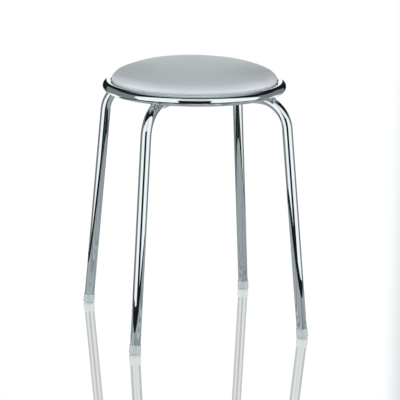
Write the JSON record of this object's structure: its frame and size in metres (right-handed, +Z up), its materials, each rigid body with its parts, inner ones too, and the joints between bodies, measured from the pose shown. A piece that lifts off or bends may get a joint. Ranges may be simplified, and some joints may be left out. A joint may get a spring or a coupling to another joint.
{
  "type": "round stool",
  "caption": "Round padded seat held in a plated tube ring, carried on crossing bent-tube leg frames with soft foot caps.",
  "frame": {"origin": "on the floor, under the centre of the seat", "axes": "+Z up, -Y towards the front; the legs stand on the diagonals between X and Y"},
  "size_m": [0.3258, 0.3258, 0.472],
  "materials": {
    "chrome": "polished plating",
    "weld": "plated weld bead",
    "vinyl": "smooth silver-grey coated fabric",
    "foam": "open-cell foam",
    "plywood": "raw plywood",
    "zinc": "zinc plated",
    "foot_cap": "satin translucent soft plastic"
  },
  "bodies": {
    "root": {"seat_ring": "chrome", "leg_frame_lower": "chrome", "leg_frame_upper": "chrome", "cross_weld": "weld", "ring_weld_front_left": "weld", "ring_weld_front_right": "weld", "ring_weld_back_left": "weld", "ring_weld_back_right": "weld", "seat_board": "plywood", "foam_pad": "foam", "seat_cover": "vinyl", "cover_staples": "zinc", "seat_screw_front_left": "zinc", "seat_screw_front_right": "zinc", "seat_screw_back_left": "zinc", "seat_screw_back_right": "zinc", "saddle_washer_front_left": "zinc", "saddle_washer_front_right": "zinc", "saddle_washer_back_left": "zinc", "saddle_washer_back_right": "zinc", "tee_nut_front_left": "zinc", "tee_nut_front_right": "zinc", "tee_nut_back_left": "zinc", "tee_nut_back_right": "zinc", "foot_cap_front_left": "foot_cap", "foot_cap_front_right": "foot_cap", "foot_cap_back_left": "foot_cap", "foot_cap_back_right": "foot_cap"}
  },
  "joints": []
}
